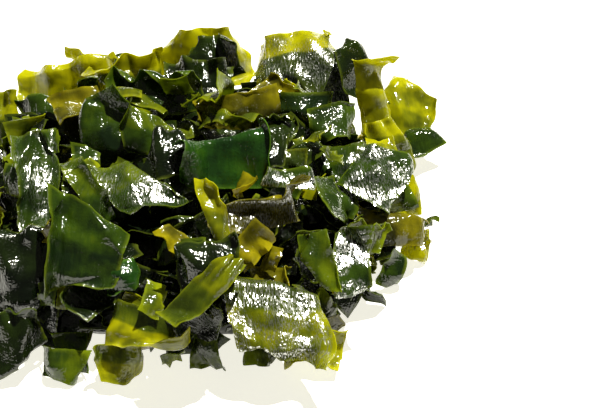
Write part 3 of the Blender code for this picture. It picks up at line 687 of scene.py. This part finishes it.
def leaf_mesh(shape, cell, seed, sheer_and_shade, relief=1.0, glitter=(0, 0)):
    """A finely bent leaf with its flat place as its UV.

    For its finish it keeps how near its cut edge is, how sheer it is with the painted shade of its lower
    part, how much it glitters and how far its wet skin leans up towards the light.
    """
    corners, creases, frill, phase = shape
    xs, ys = [x for x, _ in corners], [y for _, y in corners]
    length, width = max(xs) - min(xs), max(ys) - min(ys)
    leaf = bmesh.new()
    columns, rows = (max(round(reach / cell), FEWEST_FINE_CELLS) for reach in (length, width))
    bmesh.ops.create_grid(leaf, x_segments=columns, y_segments=rows, size=1)
    flat_layer = leaf.verts.layers.float_vector.new("flat")
    rim_layer = leaf.verts.layers.float.new("rim")
    sheer_layer = leaf.verts.layers.float.new("sheer_and_shade")
    glitter_layer = leaf.verts.layers.float.new("glitter")
    lean_layer = leaf.verts.layers.float.new("lean")
    lines = sharpened(crease_lines(corners, creases))
    border = sheer_and_shade[2] if len(sheer_and_shade) > 2 else HALF_WAY
    for vert in leaf.verts:
        u, v = (vert.co.x + 1) / 2, (vert.co.y + 1) / 2
        gap = min(u * length, (1 - u) * length, v * width, (1 - v) * width)
        edge = max(1 - gap / RUFFLED_MARGIN, 0)
        flat = on_sheet(corners, u, v)
        wander = noise.noise_vector(Vector((flat.x, flat.y, seed * MM)) / WANDER_LENGTH) * WANDER * MM
        nick = noise.noise_vector(Vector((flat.x, flat.y, -seed * MM)) / NICK_LENGTH) * NICK * MM * edge
        flat += Vector((wander.x + nick.x, wander.y + nick.y, 0))
        small = relief * crinkle(flat, seed, edge, RUFFLE + RUFFLE_BY_FRILL * frill)
        point = flat + Vector((0, 0, waved(frill, phase, u, v, BUCKLE * LOWER_BUCKLES) + small))
        for line in lines:
            point = bowed(point, *line, flat)
        vert.co = point
        vert[flat_layer] = flat
        vert[rim_layer] = max(1 - gap / PALE_RIM, 0)
        vert[glitter_layer] = glitter[0]
        vert[lean_layer] = -glitter[1] * flat.y / BUMP_HEIGHT
        # Painted shadow edge: the lower part, which leaves behind would shade, gets the lower share of light
        wavering = noise.noise(Vector((flat.x, flat.y, seed * MM)) / WANDER_LENGTH) * BORDER_WAVER
        upper = eased_step(border, border + BORDER_WIDTH, v + wavering)
        vert[sheer_layer] = sheer_and_shade[0] + (sheer_and_shade[1] - sheer_and_shade[0]) * upper
    thickened(leaf, LEAF_THICKNESS)
    uv_layer = leaf.loops.layers.uv.new("flat_sheet")
    for face in leaf.faces:
        for loop in face.loops:
            flat = loop.vert[flat_layer]
            loop[uv_layer].uv = (flat.x / FLAT_UNIT + seed, flat.y / FLAT_UNIT)
    return leaf


def joined(meshes):
    """One bmesh of all these, which are then freed."""
    whole = bmesh.new()
    data = bpy.data.meshes.new("joining")
    for mesh in meshes:
        mesh.to_mesh(data)
        mesh.free()
        whole.from_mesh(data)
    bpy.data.meshes.remove(data)
    return whole


def add_piece(name, mesh, finish, replaced=()):
    """Puts a mesh into the scene as a piece, in the place of the nodes that it replaces."""
    data = bpy.data.meshes.new(name)
    mesh.to_mesh(data)
    mesh.free()
    data.materials.append(finish)
    data.shade_smooth()
    data.set_sharp_from_angle(angle=SHARP_ANGLE)
    piece = bpy.data.objects.new(name, data)
    bpy.context.scene.collection.objects.link(piece)
    if replaced:
        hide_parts(*replaced)
    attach(piece, "root")
    return piece


# Finishes


class Value:
    """A socket on which Python's arithmetic adds Math nodes."""

    def __init__(self, finish, socket):
        self.finish = finish
        self.socket = socket

    def math(self, operation, *values):
        return self.finish.node("ShaderNodeMath", {"operation": operation}, dict(enumerate(values)))

    def __add__(self, other):
        return self.math("ADD", self, other)

    def __sub__(self, other):
        return self.math("SUBTRACT", self, other)

    def __rsub__(self, other):
        return self.math("SUBTRACT", other, self)

    def __mul__(self, other):
        return self.math("MULTIPLY", self, other)

    __radd__ = __add__
    __rmul__ = __mul__

    def between(self, low, high):
        """0 up to low and 1 from high on."""
        ends = {"Value": self, "From Min": low, "From Max": high}
        return self.finish.node("ShaderNodeMapRange", {"clamp": True}, ends)

    def clamped(self, low=0.0, high=1.0):
        return self.finish.node("ShaderNodeClamp", {}, {"Value": self, "Min": low, "Max": high})


class Finish:
    """The look of a material or of the room, whose nodes are added by one method."""

    def __init__(self, owner):
        owner.use_nodes = True
        self.tree = owner.node_tree
        self.tree.nodes.clear()

    def node(self, kind, settings, inputs, output=0):
        made = self.tree.nodes.new(kind)
        for name, setting in settings.items():
            setattr(made, name, setting)
        for name, value in inputs.items():
            if isinstance(value, Value):
                self.tree.links.new(value.socket, made.inputs[name])
            else:
                made.inputs[name].default_value = value
        return Value(self, made.outputs[output]) if made.outputs else None

    def blend(self, factor, one, other):
        """Colour one, going over to the other with the factor."""
        colours = {"Factor": factor, 6: one, 7: other}
        return self.node("ShaderNodeMix", {"data_type": "RGBA"}, colours, 2)


def noise_on(finish, place, scale, detail, roughness=0.5, distortion=0.0):
    """Noise over a place, with so many waves to the place's unit."""
    run = {"Scale": scale, "Detail": detail, "Roughness": roughness, "Distortion": distortion}
    return finish.node("ShaderNodeTexNoise", {}, {"Vector": place, **run})


def kept_on_leaf(finish, name):
    """The number that leaf_mesh keeps under this name."""
    return finish.node("ShaderNodeAttribute", {"attribute_name": name}, {}, 2)


def gloss(finish, roughness, bump):
    looks = {"Color": (1, 1, 1, 1), "Roughness": roughness, "Normal": bump}
    return finish.node("ShaderNodeBsdfGlossy", {}, looks)


def mixed(finish, share, one, other):
    """Shader one, going over to the other with the share."""
    return finish.node("ShaderNodeMixShader", {}, {0: share, 1: one, 2: other})


def thin_sheet(finish, colour):
    """A sheet so thin that it scatters light on through as well as back."""
    through = finish.node("ShaderNodeBsdfTranslucent", {}, {"Color": (*colour, 1)})
    back = finish.node("ShaderNodeBsdfDiffuse", {}, {"Color": (*colour, 1)})
    return mixed(finish, SCATTERED_BACK, through, back)


def leaf_finish(material, deep, body, pale, glow, bright_glow):
    """Wet seaweed: near black in blotches and painted shade, paler at the cut edge, glowing where sheer."""
    finish = Finish(material)
    place = finish.node("ShaderNodeUVMap", {"uv_map": "flat_sheet"}, {})
    drawn_out = finish.node("ShaderNodeMapping", {}, {"Vector": place, "Scale": (1.0, 0.25, 1.0)})
    sheer_and_shade, rim, lean, glitter = (kept_on_leaf(finish, kept) for kept in ("sheer_and_shade", "rim", "lean", "glitter"))
    blotch = noise_on(finish, place, *BLOTCHES)
    streak = noise_on(finish, drawn_out, *STREAKS)

    # Blotches and streaks are the leaf's own tone; the share of light through it adds painted shade, darker
    # where low
    paleness = 0.6 * blotch.between(0.35, 0.7) + 0.4 * streak.between(0.3, 0.7) + 0.35 * sheer_and_shade - 0.3
    colour = finish.blend(paleness.clamped(), (*deep, 1), (*body, 1))
    # The pale rim: partly the cut edge's own paler tone, partly a painted glow; it also lets more light
    # through
    colour = finish.blend((rim * 0.6).clamped(), colour, (*pale, 1))

    speckle = noise_on(finish, place, *SPECKLES)
    pucker = noise_on(finish, drawn_out, *PUCKERS)
    patch = noise_on(finish, place, *BUMPY_PATCHES).between(0.36, 0.62)
    height = speckle * (0.35 + 0.65 * patch) + pucker * (1.3 - 0.7 * patch) + lean
    bump = finish.node("ShaderNodeBump", {}, {"Strength": 1.0, "Distance": BUMP_HEIGHT, "Height": height})
    looks = {"Base Color": colour, "Roughness": 0.08 + 0.1 * streak, "Normal": bump, "IOR": LEAF_IOR}
    skin = finish.node("ShaderNodeBsdfPrincipled", {}, looks)

    # The brighter glow and the light let through also follow the painted shade in that share
    brightness = (sheer_and_shade + 0.5 * blotch + 0.3 * streak).between(0.8, 1.15)
    through = mixed(finish, brightness, thin_sheet(finish, glow), thin_sheet(finish, bright_glow))
    depth = blotch.between(0.38, 0.62)
    let_through = (sheer_and_shade * (0.45 + 0.75 * depth) + 0.3 * rim).clamped(LEAST_THROUGH, MOST_THROUGH)
    leaf = mixed(finish, let_through, skin, through)

    dots = noise_on(finish, drawn_out, *GLITTER_DOTS).between(0.48, 0.54)
    shining = noise_on(finish, place, *SHINING_SPOTS).between(0.4, 0.47)
    sparkling = glitter * dots * shining * MOST_GLITTER
    leaf = mixed(finish, sparkling, leaf, gloss(finish, GLITTER_ROUGHNESS, bump))
    wetness = finish.node("ShaderNodeFresnel", {}, {"IOR": WATER_IOR, "Normal": bump})
    surface = mixed(finish, wetness * MOST_WET, leaf, gloss(finish, FILM_ROUGHNESS, bump))
    finish.node("ShaderNodeOutputMaterial", {}, {"Surface": surface})
    return material


def table_finish(material):
    """A white table that glows a little, so that it stays bright around the heap."""
    finish = Finish(material)
    glow = {"Emission Color": TABLE_GLOW, "Emission Strength": TABLE_GLOW_STRENGTH}
    skin = finish.node("ShaderNodeBsdfPrincipled", {}, {"Base Color": TABLE_GREY, "Roughness": 0.6, **glow})
    finish.node("ShaderNodeOutputMaterial", {}, {"Surface": skin})
    return material


# The mound


def settled_tree(mesh):
    """What lies already, as its box and its faces for the tests of what comes after."""
    low, high = box_of(mesh)
    return low, high, BVHTree.FromBMesh(mesh)


def is_clear(trial, moved, settled):
    """Whether the trial leaf, moved so far, touches neither the table nor what lies already."""
    points = [vert.co + moved for vert in trial.verts]
    low = [min(point[i] for point in points) for i in range(3)]
    high = [max(point[i] for point in points) for i in range(3)]
    if low[2] < TABLE_GAP:
        return False
    tree = None
    for other_low, other_high, other_tree in settled:
        if any(low[i] > other_high[i] or high[i] < other_low[i] for i in range(3)):
            continue
        if tree is None:
            faces = [[vert.index for vert in face.verts] for face in trial.faces]
            tree = BVHTree.FromPolygons(points, faces)
        if tree.overlap(other_tree):
            return False
    return True


def filling_leaves(settled, seed, places, half, base, lengths, lean, depth, highest, sheer_and_shade_range):
    """Small leaves moved out from under an ellipsoid until each is clear of what carries it."""
    draw = random.Random(seed)
    leaves = []
    for number in range(places):
        seat = spiral_place(number, places, half)
        seat.z += base
        out = outward(seat, half)
        length = draw.uniform(*lengths)
        corners = cut_corners(draw, length, length * draw.uniform(0.5, 0.9))
        creases = drawn_creases(draw, SMALL_MOST_BEND)
        shape = (corners, creases, draw.uniform(0, 1.5), draw.uniform(0, math.tau))
        turned = leaning_frame(draw, out, math.radians(lean))
        sheer_and_shade = draw.uniform(*sheer_and_shade_range)
        relief_seed = seed + number * SMALL_SEED_STEP
        leaf = leaf_mesh(shape, SMALL_CELL, relief_seed, (sheer_and_shade, sheer_and_shade * SHEERER_TIP), SMALL_RELIEF)
        leaf.transform(Matrix.Translation(seat) @ turned.to_4x4())
        leaf.verts.index_update()
        lift = -depth
        while lift < highest and not is_clear(leaf, out * lift, settled):
            lift += SEAT_STEP
        if lift >= highest or (lift == -depth and (depth > 0 or seat.z < LOWEST_SEAT)):
            leaf.free()
            continue
        leaf.transform(Matrix.Translation(out * lift))
        middle = seat + out * lift
        outside = (middle.x / MOUND_HALF[0]) ** 2 + (middle.y / MOUND_HALF[1]) ** 2 > FOOT_SHARE
        if outside and box_of(leaf)[0].z > HIGHEST_OVERHANG:
            leaf.free()
            continue
        settled.append(settled_tree(leaf))
        leaves.append(leaf)
    return leaves


def heart_mesh():
    """The dark wet mass under everything, wrinkled, with a flat underside."""
    heart = bmesh.new()
    bmesh.ops.create_icosphere(heart, subdivisions=6, radius=1)
    for vert in heart.verts:
        way = vert.co.normalized()
        fine = noise.noise(way * FINE_WRINKLES[0]) * FINE_WRINKLES[1]
        wrinkle = fine + abs(noise.noise(way * DEEP_WRINKLES[0])) * DEEP_WRINKLES[1] - DEEP_WRINKLES[1]
        vert.co = Vector(way[i] * HEART_HALF[i] * (1 + wrinkle) for i in range(3))
        vert.co.z += HEART_BASE
    everything = heart.verts[:] + heart.edges[:] + heart.faces[:]
    cut = bmesh.ops.bisect_plane(heart, geom=everything, plane_no=(0, 0, -1), clear_outer=True)
    rim = [edge for edge in cut["geom_cut"] if isinstance(edge, bmesh.types.BMEdge)]
    bmesh.ops.contextual_create(heart, geom=rim)
    bmesh.ops.recalc_face_normals(heart, faces=heart.faces[:])
    uv_layer = heart.loops.layers.uv.new("flat_sheet")
    for face in heart.faces:
        for loop in face.loops:
            loop[uv_layer].uv = loop.vert.co.xy / FLAT_UNIT
    return heart


def add_leaf(name, cut, turned, seat, look, finish, node, settled):
    """A fine leaf in the place of this node."""
    leaf = leaf_mesh(cut, LEAF_CELL, *look)
    leaf.transform(Matrix.Translation(seat) @ turned.to_4x4())
    settled.append(settled_tree(leaf))
    add_piece(name, leaf, finish, [node])


def dress_seen_blades(finishes, settled):
    """A fine leaf for each blade that the photograph shows."""
    draw = random.Random(CORNER_SEED)
    for number, (name, (pixels, facing, creases, frill)) in enumerate(SEEN_BLADES.items()):
        turned, corners = seen_blade(pixels, facing, tucked_share(number))
        shape = (corners, corner_creases(draw) + creases, frill, draw.uniform(0, math.tau))
        node = f"blade_{name}"
        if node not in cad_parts:
            continue
        _, cut, seat = fitted(shape, turned, node)
        finish, *sheer_and_shade = SEEN_LOOKS[name]
        look = (number + 1, sheer_and_shade, SMOOTH_ONES.get(name, 1.0), GLITTERING_ONES.get(name, (0, 0)))
        add_leaf(f"leaf_{name}", cut, turned, seat, look, finishes[finish], node, settled)


def dress_hidden_blades(finishes, settled):
    """A fine leaf for each blade of the hidden sides that the solid model took from the rule's offers."""
    offered = hidden_shapes()
    number = 1
    while f"blade_hidden_{number:02d}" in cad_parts:
        node = f"blade_hidden_{number:02d}"
        for shape, turned in offered:
            miss, cut, seat = fitted(shape, turned, node)
            if miss < SAME_BLADE:
                break
        finish = finishes[SMALL_FINISHES[number % 4]]
        lower = HIDDEN_SHEERS[0] + HIDDEN_SHEER_STEP * (number % 5)
        upper = HIDDEN_SHEERS[1] + HIDDEN_SHEER_STEP * (number % 6)
        look = (HIDDEN_RELIEF_SEED + number, (lower, upper))
        add_leaf(f"leaf_hidden_{number:02d}", cut, turned, seat, look, finish, node, settled)
        number += 1


def dress_tangle(dark):
    """The heart and the leaves that stand out of it."""
    meshes = [heart_mesh()]
    for number, (shape, turned, seat) in enumerate(tangle_shapes()):
        upper = TANGLE_SHEERS[1] + TANGLE_SHEER_RANGE * ((number * GOLDEN_SHARE) % 1)
        leaf = leaf_mesh(shape, TANGLE_CELL, TANGLE_RELIEF_SEED + number, (TANGLE_SHEERS[0], upper))
        leaf.transform(Matrix.Translation(seat) @ turned.to_4x4())
        low = min(vert.co.z for vert in leaf.verts)
        leaf.transform(Matrix.Translation((0, 0, max(0, TANGLE_GAP - low))))
        meshes.append(leaf)
    whole = joined(meshes)
    tangle = settled_tree(whole)
    add_piece("tangle_leaves", whole, dark, ["inner_tangle"])
    return tangle


def build_wakame():
    finishes = {}
    for name, colours in LEAF_COLOURS.items():
        finishes[name] = leaf_finish(bpy.data.materials.new(f"{name}_leaf"), *colours)
    # The heart and the tangle take the deep finish: the seaweed's dark tone and painted shade inside the
    # heap
    tangle, settled = dress_tangle(finishes["deep"]), []
    dress_seen_blades(finishes, settled)
    dress_hidden_blades(finishes, settled)
    inner = filling_leaves(settled, **HEART_LEAVES)
    settled.append(tangle)
    outer = filling_leaves(settled, **TOP_LEAVES) + filling_leaves(settled, **OUTER_LEAVES)
    # The small leaves on the heart take the deep finish as painted shade under the outer leaves
    add_piece("small_leaves_inner", joined(inner), finishes["deep"])
    for number, name in enumerate(SMALL_FINISHES):
        add_piece(f"small_leaves_{name}", joined(outer[number::4]), finishes[name])


# Table, light and camera


def build_table():
    table = bmesh.new()
    bmesh.ops.create_grid(table, x_segments=1, y_segments=1, size=TABLE_HALF)
    data = bpy.data.meshes.new("table_top")
    table.to_mesh(data)
    table.free()
    data.materials.append(table_finish(bpy.data.materials.new("white_table")))
    top = bpy.data.objects.new("table_top", data)
    bpy.context.scene.collection.objects.link(top)


def build_light():
    """A dim warm room that looks bright itself, and a hard sun from behind the heap."""
    world = bpy.data.worlds.new("bright_room")
    bpy.context.scene.world = world
    room = Finish(world)
    seen = room.node("ShaderNodeLightPath", {}, {})
    ends = {"Value": seen, "To Min": ROOM_LIGHT, "To Max": BACKDROP_LIGHT}
    strength = room.node("ShaderNodeMapRange", {}, ends)
    light = room.node("ShaderNodeBackground", {}, {"Color": (*WARM_WHITE, 1), "Strength": strength})
    room.node("ShaderNodeOutputWorld", {}, {"Surface": light})

    lamp = bpy.data.lights.new("sun", "SUN")
    lamp.energy = SUN_STRENGTH
    lamp.color = WARM_WHITE
    lamp.angle = SUN_WIDTH
    sun = bpy.data.objects.new("sun", lamp)
    sun.rotation_euler = Vector(TOWARD_SUN).to_track_quat("Z", "Y").to_euler()
    bpy.context.scene.collection.objects.link(sun)


def build_camera():
    lens = bpy.data.cameras.new("camera")
    lens.lens = LENS_LENGTH
    lens.sensor_width = SENSOR_WIDTH
    camera = bpy.data.objects.new("camera", lens)
    toward = Vector((0, -math.cos(VIEW_ELEVATION), math.sin(VIEW_ELEVATION)))
    camera.location = VIEW_TARGET + toward * VIEW_DISTANCE
    camera.rotation_euler = (math.pi / 2 - VIEW_ELEVATION, 0, 0)
    bpy.context.scene.collection.objects.link(camera)
    bpy.context.scene.camera = camera


build_camera()
build_table()
build_light()
build_wakame()
scene = bpy.context.scene
scene.view_settings.view_transform = "Standard"
scene.view_settings.look = "None"
